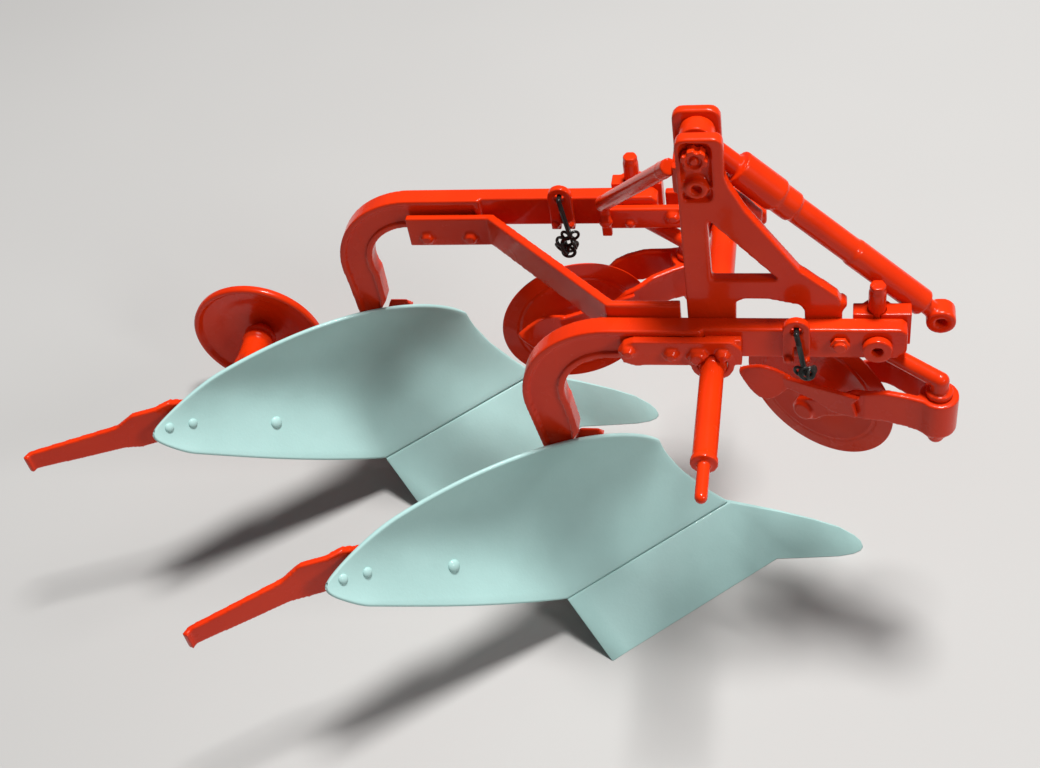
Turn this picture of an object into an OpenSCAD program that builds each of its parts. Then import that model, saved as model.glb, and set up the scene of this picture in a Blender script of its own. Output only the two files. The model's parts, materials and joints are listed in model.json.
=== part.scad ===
// Die-cast scale model of a mounted two-bottom moldboard plough, about 1:16.
// X points forward to the tractor, Y to the left and Z up, in millimetres.
// Each bottom is laid out from its share point, then set in its place.

/* [Whole plough] */
// Fore and aft distance from one bottom to the next
unit_step = 28.5; // [24:0.5:34]
// Furrow width, the sideways distance from one bottom to the next
furrow_w = 22.2; // [19:0.1:25]
// Height of the top face of the beams over the table
beam_top = 45.4; // [42:0.2:50]

/* [Beams] */
// Height of the beam bar
beam_h = 4.2; // [3.4:0.1:5]
// Thickness of the beam bar at its front
beam_t = 2; // [1.6:0.1:2.6]
// Extra thickness on the right face of the goose neck
neck_extra = 0.4; // [0.1:0.1:0.7]
// Beam front end ahead of the share point
beam_front = 3.5; // [1:0.5:8]
// Outer radius of the goose neck
neck_r = 11; // [10:0.25:13]
// Width of the goose neck where it turns down
neck_w = 5; // [4:0.1:6]
// Beam centre to the right of the land side
beam_off = 4.8; // [4:0.1:6]
// Depth of the cast recess in the goose neck
neck_recess = 0.35; // [0.1:0.05:0.6]
// Width of the rim round that recess
neck_rim = 0.8; // [0.5:0.1:1.2]

/* [Bottoms] */
// Length of the share point ahead of the cutting edge
nose_l = 10.9; // [8:0.1:14]
// Width of the share point where the cutting edge starts
nose_w = 2.6; // [1.5:0.1:3.5]
// Cutting width of the share
cut_w = 19.4; // [16:0.1:21]
// Angle of the cutting edge to the land side
cut_angle = 40.3; // [36:0.1:46]
// Height of the seam at the shin
shin_seam_z = 8.4; // [7:0.1:10]
// Height of the share at its wing
wing_z = 6.3; // [4.5:0.1:8]
// Depth of the share from its edge back to the wing corner
wing_back = 7.3; // [6:0.1:9]
// Length from share point to mouldboard tail
board_l = 59.2; // [54:0.1:64]
// Width from the land side to the mouldboard tail
tail_out = 29.4; // [26:0.1:32]
// Thickness of the mouldboard and share
plate_t = 0.6; // [0.4:0.05:0.9]
// Height of the mouldboard at the top of its shin
shin_top_z = 20.3; // [17:0.1:24]
// Height of the mouldboard over the beam foot
board_z = 28; // [26:0.1:30]
// Depth of the hollow of the mouldboard
board_hollow = 2.6; // [1.5:0.1:3.6]
// Gap at the seam between share and mouldboard
seam_gap = 0.12; // [0.05:0.01:0.3]

/* [Landsides] */
// Length of the landside
landside_l = 30; // [24:0.5:36]
// Height of the landside
landside_h = 4.6; // [3.5:0.1:6]
// Thickness of the landside
landside_t = 0.9; // [0.6:0.1:1.4]

/* [Tail straps] */
// Length of the arm of the tail strap behind its knee
strap_l = 13.5; // [9:0.5:18]
// Outward turn of the arm of the right strap, in degrees
strap_turn_right = 34; // [10:1:45]
// Outward turn of the arm of the left strap, in degrees
strap_turn_left = 20; // [10:1:45]
// Height of the tail strap
strap_h = 3.3; // [2:0.1:4.5]
// Thickness of the tail strap
strap_t = 0.8; // [0.5:0.1:1.2]

/* [Mast] */
// Height of the top link pin
pin_z = 67.2; // [62:0.2:74]
// Distance of the mast post behind the share point
post_x = 17.9; // [15:0.5:21]
// Width of the mast post
post_w = 4.6; // [3.8:0.1:5.2]
// Thickness of the mast plate
mast_t = 1.4; // [1:0.1:2]
// Inner width of the mast head
head_gap = 3.3; // [2.8:0.1:4]
// Thickness of the far cheek of the mast head
cheek_t = 1.2; // [1:0.1:2]

/* [Top link] */
// Length of the top link from eye to eye
link_l = 35.4; // [30:0.2:42]
// Radius of the barrel of the top link
link_r = 1.85; // [1.5:0.05:2.2]
// Bore radius of the front eye of the top link
eye_bore_r = 0.6; // [0.4:0.05:0.8]
// Slope of the hanging top link, in degrees under the level
link_slope = 44.9; // [40:0.1:50]
// Width of the eye on the mast pin
eye_w = 2.2; // [1.6:0.1:2.6]

/* [Hitch] */
// Distance of the cross shaft behind the share point
shaft_x = 17.1; // [15:0.1:19]
// Height of the cross shaft over the table
shaft_z = 41.3; // [38:0.1:44]
// Radius of the cross shaft between the beams
shaft_r = 1.6; // [1.2:0.05:2]
// Radius of the pin sleeves
sleeve_r = 1.33; // [1:0.01:1.6]
// Radius of the lower hitch pins
hitch_pin_r = 0.69; // [0.5:0.01:0.9]
// Length of each lower hitch pin
hitch_pin_l = 5; // [3:0.5:8]
// Distance between the shoulders of the two pins
hitch_span = 42.7; // [40:0.1:46]

/* [Coulters] */
// Radius of the coulter discs
disc_r = 9.4; // [8:0.1:9.8]
// Thickness of the coulter discs
disc_t = 0.6; // [0.4:0.05:1]
// Height of the coulter hubs over the table
hub_z = 30.8; // [28:0.1:31]
// Distance from the swivel pin back to the hub
trail = 14.5; // [13:0.1:16]
// Swivel pin ahead of the share point
swivel_x = 7; // [5:0.1:9]
// Swivel pin to the right of the land side
swivel_y = 7.9; // [6:0.1:9]
// Radius of the coulter shank
shank_r = 0.95; // [0.8:0.05:1]
// Swivel of the right coulter, its rear to the left
swivel_right = -28.5; // [-30:0.5:30]
// Swivel of the left coulter, its rear to the right
swivel_left = 16.5; // [-30:1:30]
// Thickness of the yoke strap
yoke_t = 0.8; // [0.5:0.1:1.1]
// Inner width of the yoke
yoke_w = 5.2; // [4:0.1:6]
// Height of the yoke at its swivel
yoke_h = 5; // [4:0.1:5.6]

/* [Rear wheel] */
// Radius of the rear furrow wheel
wheel_r = 10; // [8:0.1:11]
// Width of the dished wheel
wheel_w = 3; // [2:0.1:4]
// Wall of the dished wheel
wheel_wall = 0.9; // [0.6:0.05:1.4]
// Wheel axle behind the share point of the left bottom
wheel_back = 59.4; // [57:0.1:64]
// Rim of the wheel to the left of the land side
wheel_left = 6.2; // [5:0.1:9]
// Radius of the wheel axle
axle_r = 1; // [0.7:0.05:1.3]

/* [Fits] */
// Clearance of parts that rest on each other
seat = 0.05; // [0.02:0.01:0.2]
// Clearance round turning pins
run = 0.06; // [0.03:0.01:0.1]

/* [Hidden] */
$fn = 48;

// Places
rear_shift = [-unit_step, furrow_w, 0];
beam_bottom = beam_top - beam_h;
left_face = -beam_off + beam_t / 2;
right_face = -beam_off - beam_t / 2;
neck_x = -28.4;
neck_z = beam_top - neck_r;
foot_z = 12;
neck_tuck = 1.2;
bracket_bolt = -2;
bolt_z = beam_bottom + beam_h / 2;
bolt_r = 0.7;
block_x = 0.3;
block_y = left_face + seat + shank_r;
crank_z = beam_bottom - shank_r - 0.15;
yoke_low = hub_z + 2.2;
yoke_top = yoke_low + yoke_h;
pin_x = -post_x;
link_y = left_face + seat + mast_t + head_gap - 0.1 - eye_w / 2;
pin_r = 0.75;
wheel_x = -unit_step - wheel_back;
wheel_y = furrow_w + wheel_left;
shaft_mid = (furrow_w - 22.2) / 2;
// Corners of the share and the mouldboard
kink = [-nose_l, -nose_w, 0];
heel = [-nose_l - (cut_w - nose_w) / tan(cut_angle), -cut_w, 0];
wing = heel + [-wing_back * cos(cut_angle), wing_back * sin(cut_angle), wing_z];
shin = [-nose_l - 6, 0, shin_seam_z];
shin_top = [-nose_l - 14.1, 0, shin_top_z];
tail_top = [-board_l + 0.2, -tail_out + 4.4, board_z - 0.5];
tail_low = [-board_l - 0.1, -tail_out, board_z - 3.5];
wing_mid = wing + (tail_low - wing) * 0.45 - [0, 0, 2];
knee = [tail_top.x - 5.2, tail_top.y - 0.9];
top_a = shin_top + [-5, -5.5, board_z + 1.5 - shin_top_z];
top_b = tail_top + [15, 14.5, 2];
seam_u = 0.42;

// Ends and middle of the whole plough
plough_rear = -unit_step + knee[0] - strap_l * cos(strap_turn_left) - 0.68;
plough_front = swivel_x + shank_r + 1.15;
plough_right = knee[1] - strap_l * sin(strap_turn_right) - 1.03;
plough_left = wheel_y + wheel_w / 2 + 1.3;
mid_x = (plough_rear + plough_front) / 2;
mid_y = (plough_right + plough_left) / 2;

function mix(a, b, t) = a + (b - a) * t;
function bez2(a, b, c, t) = mix(mix(a, b, t), mix(b, c, t), t);
function bez3(a, b, c, d, t) = mix(bez2(a, b, c, t), bez2(b, c, d, t), t);
function unit(v) = v / norm(v);
function ease(t) = let (k = max(0, min(1, t))) k * k * (3 - 2 * k);

// Lower and upper edge of the mouldboard, from shin to tail
function low_edge(u) = u < seam_u ? mix(shin, wing, u / seam_u)
    : bez2(wing, wing_mid, tail_low, (u - seam_u) / (1 - seam_u));
function top_edge(u) = bez3(shin_top, top_a, top_b, tail_top, u);

// A point of the mouldboard face: its hollow turns with the twist
function face(u, v) = let (
        a = 60 * u,
        bow = 4 * v * (1 - v),
        depth = 1.5 * (1 - u) + board_hollow * sin(180 * u),
        end = ease((u - 0.8) / 0.2)
    )
    mix(low_edge(u), top_edge(u), 0.5 + (v - 0.5) * tail_round(u))
    + bow * depth * [-cos(a), sin(a), 0]
    + bow * end * [-0.8, -0.7, 0];
function tail_round(u) = u < 0.88 ? 1 : sqrt(1 - pow((u - 0.88) / 0.125, 2));

// The normal of the face, pointing away from the soil
function back_of(u, v) = let (
        e = 0.01,
        du = face(min(1, u + e), v) - face(max(0, u - e), v),
        dv = face(u, min(1, v + e)) - face(u, max(0, v - e))
    )
    unit(cross(dv, du)) * -1;

// Share rings: cutting edge, top edge, and the same two edges on the back
nose_top = [[-0.1, 0, 0.5], [-0.35, 0, 1.3], [-1.1, 0, 2.3], [-3, 0, 3.9], [-6, 0, 5.2],
    [-10.6, 0, 6.7], shin];
nose_low = [[0, -0.25, 0], [-0.3, -0.8, 0], [-1.2, -1.35, 0], [-3, -0.7 * nose_w, 0],
    [-5.5, -0.8 * nose_w, 0], [-8, -0.9 * nose_w, 0], kink];
nose_n = len(nose_low) - 1;
share_n = 10;
function share_low(i) = i < nose_n ? nose_low[i] : mix(kink, heel, (i - nose_n) / share_n);
function share_top(i) = i < nose_n ? nose_top[i] : mix(shin, wing, (i - nose_n) / share_n);
function share_ring(i) = let (
        b = share_low(i),
        t = share_top(i) - (i < nose_n ? [0, 0, 0] : [0, 0, seam_gap]),
        back = i < nose_n ? [-0.25 - 0.12 * i, 0.1 + 0.09 * i, 0] : 1.35 * plate_t * [-0.65, 0.76, 0]
    )
    [b, t, t + [back.x, back.y, -0.1], b + back];

// Side view prism: x along the plough, y of the sketch up
module side(left, thick) {
    translate([0, left, 0])
        rotate([90, 0, 0])
            linear_extrude(thick)
                children();
}

// Round bar along Y from y1 to y2
module rod_y(x, z, r, y1, y2) {
    translate([x, y2, z])
        rotate([90, 0, 0])
            cylinder(r = r, h = y2 - y1);
}

// Round bar between two points
module bar(p, q, r) {
    v = q - p;
    translate(p)
        rotate([0, acos(v.z / norm(v)), atan2(v.y, v.x)])
            cylinder(r = r, h = norm(v));
}

// Box from its lowest to its highest corner
module block(a, b) {
    translate(a)
        cube(b - a);
}

// Hexagon bolt head on a right-hand face
module head(x, y, z, r, h) {
    translate([x, y, z])
        rotate([90, 0, 0]) {
            cylinder(r = r, h = h * 0.6, $fn = 6);
            cylinder(r = r * 0.62, h = h);
        }
}

// Closed skin through a list of rings
module skin(rings) {
    n = len(rings);
    k = len(rings[0]);
    points = [for (r = rings) each r];
    sides = [for (i = [0 : n - 2], j = [0 : k - 1])
        let (a = i * k + j, b = i * k + (j + 1) % k)
        each [[a, b, b + k], [a, b + k, a + k]]];
    caps = [[for (j = [k - 1 : -1 : 0]) j], [for (j = [0 : k - 1]) (n - 1) * k + j]];
    polyhedron(points, concat(sides, caps), convexity = 6);
}

// Points of an arc from angle a1 to angle a2
function arc(cx, cz, r, a1, a2, n) = [for (k = [0 : n])
    let (a = mix(a1, a2, k / n)) [cx + r * cos(a), cz + r * sin(a)]];

// Outline of the goose neck, drawn in by the amount i and bent tighter by the amount tuck
function neck_line(i, tuck) = concat(
    [[-18.2, beam_top - i]],
    arc(neck_x + tuck, neck_z, neck_r - i, 90, 190, 20),
    [[-38.1 + i + 0.4 * tuck, 25.7], [-37 + i, 19], [-36.6 + i, foot_z]],
    [for (v = [0.25 : 0.15 : 0.85])
        let (p = behind(right_face - neck_extra, v))
        [min(-32.6, p.x - 1.35 * plate_t - 0.8) - i, p.z]],
    [[-33.5 - i, 28.4]],
    arc(neck_x + tuck / 2, neck_z + 0.8, neck_r - neck_w + i, 200, 90, 14),
    [[-25.2, beam_bottom + 0.2 + i], [-18.2, beam_bottom + i]]
);

module beam(tuck) {
    color("orangered") {
        difference() {
            union() {
                side(left_face, beam_t)
                    polygon([[-18.3, beam_top], [-18.3, beam_bottom],
                        [beam_front - 1, beam_bottom], [beam_front, beam_bottom + 1],
                        [beam_front, beam_top - 0.6], [beam_front - 0.6, beam_top]]);
                side(left_face, beam_t + neck_extra)
                    polygon(neck_line(0, tuck));
            }
            side(right_face - neck_extra + neck_recess, 3)
                intersection() {
                    polygon(neck_line(neck_rim, tuck));
                    translate([-35, 36])
                        square([16, 10]);
                }
            children();
        }
    }
}

module beam_right() {
    beam(0)
        rod_y(-shaft_x, shaft_z, shaft_r + seat, right_face - 1, left_face + 1);
}

module beam_left() {
    translate(rear_shift)
        beam(neck_tuck)
            rod_y(bracket_bolt, bolt_z, bolt_r + seat, right_face - 1, left_face + 1);
}

// The frog stands behind share and mouldboard and carries the beam foot
frog_y = left_face + 0.1;
function behind(y, v) = let (
        u = y_to_u(y, v)
    )
    face(u, v);
function y_to_u(y, v) = [for (k = [0 : 40]) if (face(k / 40, v).y <= y) k / 40][0];

module frog() {
    back = plate_t / 0.6 + 0.35;
    color("firebrick") {
        side(-0.1, -0.1 - frog_y)
            polygon(concat(
                [[-35.5, 0.4], [-14.5, 0.4]],
                [[shin.x - 4.2 - back, shin.z - 1.2]],
                [for (v = [0.04, 0.2, 0.4, 0.6, 0.8, 0.98])
                    let (p = behind(frog_y, v)) [p.x - back, p.z]],
                [[-31.8, 27.4], [-33.2, 28], [-36, 21.2]]
            ));
        block([-36.4, frog_y, foot_z - 2], [-32.6, frog_y + 1, 21]);
    }
}

module frog_right() {
    frog();
}

module frog_left() {
    translate(rear_shift)
        frog();
}

module landside() {
    color("red")
        side(landside_t + 0.02, landside_t)
            polygon([[-12 - landside_l, 0], [-12, 0], [-13.2, 2.4], [-16, landside_h],
                [-10.5 - landside_l, landside_h], [-12 - landside_l, landside_h - 1.5]]);
}

module landside_right() {
    landside();
}

module landside_left() {
    translate(rear_shift)
        landside();
}

module share() {
    color("lightsteelblue")
        skin([for (i = [0 : nose_n + share_n]) share_ring(i)]);
}

module share_right() {
    share();
}

module share_left() {
    translate(rear_shift)
        share();
}

module mouldboard() {
    nu = 32;
    nv = 10;
    color("lightsteelblue")
        skin([for (i = [0 : nu])
            let (u = i < 24 ? i / 24 * 0.88 : 0.88 + (i - 24) / 8 * 0.12)
            concat(
                [for (j = [0 : nv]) face(u, mix(0.005, 1, j / nv))],
                [for (j = [nv : -1 : 0])
                    let (v = mix(0.005, 1, j / nv))
                    face(u, v) + plate_t * back_of(u, v)]
            )]);
}

module mouldboard_right() {
    mouldboard();
}

module mouldboard_left() {
    translate(rear_shift)
        mouldboard();
}

// Strip of even thickness along a line in plan
function left_of(p, i) = let (
        a = p[max(0, i - 1)],
        b = p[min(len(p) - 1, i + 1)],
        d = (b - a) / norm(b - a)
    )
    [-d.y, d.x];
function strip(p, t) = concat(
    [for (i = [0 : len(p) - 1]) p[i] + left_of(p, i) * t / 2],
    [for (i = [len(p) - 1 : -1 : 0]) p[i] - left_of(p, i) * t / 2]
);
function off_board(u, v, gap) = let (
        p = face(u, v),
        n = back_of(u, v),
        flat = [n.x, n.y]
    )
    [p.x, p.y] + gap * flat / norm(flat);
function strap_line(turn) = let (
        out = [-cos(turn), -sin(turn)],
        tip = knee + strap_l * out,
        gap = plate_t + strap_t / 2
    )
    [
        off_board(0.755, 0.7, gap),
        off_board(0.905, 0.52, gap + 1),
        off_board(0.95, 0.36, gap + 2.25),
        knee,
        tip,
        tip + [-0.3, -0.9]
    ];

module tail_strap(turn) {
    line = strap_line(turn);
    top = tail_top.z - 0.4;
    x = knee[0];
    far = line[4].x - 1;
    color("red") {
        intersection() {
            translate([0, 0, top - 7])
                linear_extrude(8)
                    polygon(strip(line, strap_t));
            side(0, 60)
                polygon([[-40, top - strap_h], [-40, top - 1.6], [tail_top.x + 2, top - 1.6],
                    [tail_top.x, top], [x + 0.6, top - 0.2], [x - 1.6, top - 1.6], [far, top - 2.6],
                    [far, top - 2 - strap_h], [x - 1.6, top - 2.1 - strap_h], [x + 0.4, top - 6],
                    [tail_top.x, top - 5.6], [tail_top.x + 2, top - 2 - strap_h]]);
        }
        for (s = [0.3, 0.75])
            let (q = mix(line[0], line[1], s), z = top - 2.6)
                bar([q.x - 0.3, q.y + 0.3, z], [q.x + 0.5, q.y - 0.7, z], 0.45);
    }
}

module tail_strap_right() {
    tail_strap(strap_turn_right);
}

module tail_strap_left() {
    translate(rear_shift)
        tail_strap(strap_turn_left);
}

brace_t = 1;
brace_h = 4.4;
module beam_brace() {
    y_b = furrow_w + right_face - neck_extra - brace_t / 2 - seat;
    y_a = left_face + brace_t / 2 + seat;
    z_b = beam_top - 4.1;
    z_a = beam_top - 0.6;
    x_b = rear_shift.x;
    path = [[x_b - 27.7, y_b, z_b], [x_b - 17, y_b, z_b], [-28.4, y_a, z_a], [-20.6, y_a, z_a]];
    flat = [for (p = path) [p.x, p.y]];
    color("red") {
        skin([for (i = [0 : 3])
            let (n = left_of(flat, i) * brace_t / 2 * (i == 1 || i == 2 ? 1.08 : 1), p = path[i])
            [
                [p.x - n.x, p.y - n.y, p.z - brace_h / 2],
                [p.x - n.x, p.y - n.y, p.z + brace_h / 2],
                [p.x + n.x, p.y + n.y, p.z + brace_h / 2],
                [p.x + n.x, p.y + n.y, p.z - brace_h / 2]
            ]]);
        for (x = [-25.3, -19.8])
            head(x_b + x, y_b - brace_t / 2, z_b - 0.9, 0.9, 0.6);
    }
}

module cross_shaft() {
    left = shaft_mid + hitch_span / 2;
    right = shaft_mid - hitch_span / 2;
    x = -shaft_x;
    color("red") {
        rod_y(x, shaft_z, shaft_r, right_face - 1.7, furrow_w + left_face + 1.4);
        rod_y(x, shaft_z, sleeve_r, right, left);
        rod_y(x, shaft_z, sleeve_r + 0.15, right, right + 0.7);
        for (s = [-1, 1])
            let (y = shaft_mid + s * (hitch_span / 2 + hitch_pin_l - hitch_pin_r)) {
                rod_y(x, shaft_z, hitch_pin_r, min(y, y - s * hitch_pin_l), max(y, y - s * hitch_pin_l));
                translate([x, y, shaft_z])
                    sphere(r = hitch_pin_r);
            }
    }
}

module shaft_bracket_right() {
    outer = right_face - neck_extra - seat;
    x = -shaft_x;
    color("red")
        difference() {
            union() {
                side(outer, 1)
                    polygon([[x - 10.3, beam_top - 2.2], [x - 9.6, beam_top - 1],
                        [x - 8.6, beam_top - 0.6], [x + 2.2, beam_top - 0.6], [x + 3.2, beam_top - 1.6],
                        [x + 3.2, beam_bottom + 0.2], [x - 8.6, beam_bottom - 0.1],
                        [x - 9.8, beam_bottom + 0.4]]);
                block([-17.9, right_face - neck_extra - 0.6, beam_bottom + 0.2],
                    [x + 3.2, right_face - seat, beam_top - 0.7]);
                rod_y(x, shaft_z, 2.4, outer - 1, outer);
                for (b = [[-9.1, 1.9, 0.9], [-4.4, 2.3, 0.9], [-1.5, 2.6, 1.3], [1.2, 2.3, 0.9]])
                    head(x + b[0], outer - 0.9, beam_top - b[1], b[2], 0.9);
            }
            rod_y(x, shaft_z, shaft_r + seat, -12, 0);
        }
}

module shaft_bracket_left() {
    y_in = furrow_w + right_face - seat;
    y_out = furrow_w + left_face + seat;
    x = -shaft_x;
    bolt = rear_shift.x + bracket_bolt;
    beam_end = rear_shift.x + beam_front;
    front = [[x + 4.2, beam_top - 1], [x + 5, beam_top - 1.8], [x + 5, beam_bottom + 0.9],
        [x + 4.2, beam_bottom + 0.1]];
    color("red")
        difference() {
            union() {
                side(y_in, 1)
                    polygon(concat([[bolt - 1.1, beam_bottom + 0.6], [bolt - 1.1, beam_top - 1.6],
                        [bolt - 0.4, beam_top - 1]], front, [[bolt - 0.6, beam_bottom + 0.1]]));
                side(y_out + 1, 1)
                    polygon(concat([[beam_end + 0.7, beam_bottom + 0.1], [beam_end + 0.7, beam_top - 1]],
                        front));
                rod_y(x, shaft_z, 2.4, y_in - 1, y_out + 1);
                rod_y(x + 3.6, beam_top - 2.4, 0.7, y_in - 0.5, y_out + 0.5);
                rod_y(bolt, bolt_z, bolt_r, y_in - 0.5, y_out);
                head(bolt + 2.2, y_in - 0.9, beam_bottom + 1, 0.6, 0.6);
                head(x - 6, y_in - 0.9, beam_top - 2.2, 0.9, 0.8);
                head(x + 3.6, y_in - 0.9, beam_top - 2.4, 0.9, 0.8);
            }
            rod_y(x, shaft_z, shaft_r + seat, 5, 35);
        }
}

// Round-cornered outline from its lowest to its highest corner
function rounded(a, b, r) = concat(
    arc(b.x - r, b.y - r, r, 0, 90, 6),
    arc(a.x + r, b.y - r, r, 90, 180, 6),
    arc(a.x + r, a.y + r, r, 180, 270, 6),
    arc(b.x - r, a.y + r, r, 270, 360, 6)
);

mast_back = pin_x - 1.95;
mast_front = mast_back + post_w + 0.2;
cheek_back = pin_x - 2.6;
web_top = pin_z - 2.2;
web_low = pin_z - 5.6;
module mast() {
    top = pin_z + 2.3;
    base = beam_bottom + 0.7;
    near = left_face + seat;
    inner = near + mast_t;
    far = inner + head_gap;
    slope_x = -7.8;
    slope_z = 52;
    foot = -3.3;
    color("red")
        difference() {
            union() {
                side(inner, mast_t)
                    polygon(rounded([mast_back, base], [mast_front, top], 1));
                side(inner, mast_t)
                    polygon([[mast_back, base], [mast_back, base + 5], [mast_front, pin_z - 2.6],
                        [mast_front + 0.4, pin_z - 3.9], [mast_front + 1.9, pin_z - 7],
                        [slope_x, slope_z], [foot - 0.5, beam_top + 3], [foot, beam_top + 1.6],
                        [foot, base], [-7.2, base], [-7.3, beam_top + 0.9], [-7.8, beam_top + 1.7],
                        [-10.9, beam_top + 2.5], [-13.6, beam_top + 2.6], [-14.5, beam_top + 2.1],
                        [-14.7, base]]);
                side(far + cheek_t, cheek_t)
                    polygon(rounded([cheek_back, web_low], [mast_front - 0.5, top], 1.2));
                side(far + 0.05, head_gap + 0.1)
                    polygon([[cheek_back, web_low], [cheek_back, web_top], [mast_back + 0.5, web_top],
                        [mast_back + 0.5, web_low + 1], [mast_back + 1.5, web_low]]);
                side(inner + 2.4, 2.45)
                    polygon([[mast_back + 1, web_low - 1.5], [pin_x + 2.2, pin_z - 5.5],
                        [pin_x + 4.7, pin_z - 7.9], [slope_x - 3.7, slope_z + 5.3],
                        [slope_x - 5, slope_z + 4.6]]);
                rod_y(foot - 0.2, beam_top + 1.3, 0.7, near + 0.4, inner + 0.4);
                rod_y(pin_x, web_low + 1.7, 1.2, near - 0.3, inner);
                for (p = [[-5.1, 2], [-19, 3.3], [-16, 5.6]])
                    translate([0, inner, 0])
                        rotate([0, 0, 180])
                            head(-p[0], 0, beam_bottom + p[1], 0.75, 0.8);
            }
            difference() {
                side(near + 0.7, 3)
                    polygon(rounded([mast_back + 0.5, web_low], [mast_front - 1.3, top - 0.55], 0.7));
                rod_y(pin_x, web_low + 1.7, 1.2, near - 3, near + 3);
            }
            side(8, 14)
                polygon([[mast_back + 2.8, web_low - 2.4], [mast_back + 2.9, beam_top + 5.3],
                    [-9.9, beam_top + 5.3]]);
            rod_y(pin_x, web_low + 1.7, 0.55, near - 1, near + 0.6);
            rod_y(pin_x, pin_z, pin_r + seat, -12, 12);
            rod_y(-shaft_x, shaft_z, shaft_r + seat, -12, 12);
        }
}

module mast_pin() {
    near = left_face + seat;
    far = near + mast_t + head_gap + cheek_t;
    floor_y = near + 0.7 - seat;
    color("firebrick") {
        rod_y(pin_x, pin_z, pin_r, floor_y - 0.9, far + 0.8);
        difference() {
            rod_y(pin_x, pin_z, 1.35, floor_y - 1.3, floor_y);
            for (a = [15 : 60 : 345])
                translate([pin_x + 1.35 * cos(a), floor_y, pin_z + 1.35 * sin(a)])
                    rotate([90, 0, 0])
                        cylinder(r = 0.3, h = 2);
            rod_y(pin_x, pin_z, 0.8, floor_y - 2, floor_y - 0.9);
        }
        rod_y(pin_x, pin_z, 0.4, floor_y - 1.3, floor_y - 0.5);
        rod_y(pin_x, pin_z, 1.4, far + seat, far + 0.9);
    }
}

// Rod from the mast head down to the left beam, with a flat tab at its lower end
module mast_brace() {
    face_y = furrow_w + right_face - 1 - 2 * seat;
    x = rear_shift.x + bracket_bolt - 0.6;
    a = [cheek_back - 1 - seat, link_y - 0.4, (web_top + web_low) / 2];
    b = [x, face_y - 1, beam_top + 0.9];
    color("red") {
        bar(a, b, 0.95);
        translate(a)
            sphere(r = 1);
        translate(b)
            sphere(r = 1);
        block([x - 0.6, face_y - 0.8, beam_bottom - 0.3], [x + 0.6, face_y, beam_top + 1]);
        head(x, face_y - 0.7, bolt_z, 0.9, 0.8);
    }
}

// Steps of the top link from the mast pin: where each ends, and its radius
link_steps = [
    [0.155 * link_l, 1.1], [0.31 * link_l, link_r], [0.375 * link_l, link_r - 0.2],
    [0.62 * link_l, link_r - 0.43], [0.92 * link_l, link_r - 0.3], [0.96 * link_l, 0.95]
];

module top_link() {
    color("orangered")
        translate([pin_x, link_y, pin_z])
            rotate([0, link_slope, 0])
                difference() {
                    union() {
                        rod_y(0, 0, link_r, -eye_w / 2, eye_w / 2);
                        for (i = [0 : len(link_steps) - 1])
                            let (from = i == 0 ? 0.9 : link_steps[i - 1][0] - 0.01)
                                translate([from, 0, 0])
                                    rotate([0, 90, 0])
                                        cylinder(r = link_steps[i][1], h = link_steps[i][0] - from);
                        rod_y(link_l, 0, link_r - 0.25, -1.2, 1.2);
                    }
                    rod_y(0, 0, pin_r + run, -5, 5);
                    rod_y(link_l, 0, eye_bore_r, -5, 5);
                }
}

// Clamp block of a coulter shank, off its beam by the seat clearance
module coulter_block() {
    y = left_face + seat;
    low = beam_bottom + 0.1;
    color("red")
        difference() {
            union() {
                block([-2.2, y, low], [3.9, block_y + shank_r - 0.05, beam_top + 0.4]);
                translate([block_x, block_y, low])
                    cylinder(r = shank_r + 0.75, h = beam_top + 0.4 - low);
            }
            translate([block_x, block_y, 30])
                cylinder(r = shank_r + seat, h = 30);
            block([-5, y - 5, 30], [9, y, 60]);
        }
}

module coulter_block_right() {
    coulter_block();
    color("red")
        difference() {
            union() {
                rod_y(block_x + 0.1, beam_top - 2.3, 1.6, right_face - 1, right_face - seat);
                head(block_x - 3.8, right_face - seat, beam_top - 1.9, 1.1, 0.9);
            }
            rod_y(block_x + 0.1, beam_top - 2.3, 0.6, right_face - 2, right_face + 1);
        }
}

module coulter_block_left() {
    translate(rear_shift)
        coulter_block();
}

module coulter_shank() {
    a = [block_x, block_y, beam_top + 3];
    b = [block_x, block_y, crank_z];
    c = [swivel_x, -swivel_y, crank_z];
    d = [swivel_x, -swivel_y, hub_z + 0.7];
    color("red") {
        for (s = [[a, b], [b, c], [c, d]])
            bar(s[0], s[1], shank_r);
        for (p = [b, c, d])
            translate(p)
                sphere(r = shank_r + 0.02);
        translate(a)
            cylinder(r = shank_r - 0.02, h = 0.9, $fn = 6);
        translate([swivel_x, -swivel_y, yoke_top + seat])
            cylinder(r = shank_r + 0.5, h = 0.7);
        translate([swivel_x, -swivel_y, yoke_low - seat - 0.9])
            cylinder(r = shank_r + 0.5, h = 0.9);
    }
}

module coulter_shank_right() {
    coulter_shank();
}

module coulter_shank_left() {
    translate(rear_shift)
        coulter_shank();
}

module at_swivel(angle) {
    translate([swivel_x, -swivel_y, hub_z])
        rotate([0, 0, angle])
            children();
}

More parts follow.
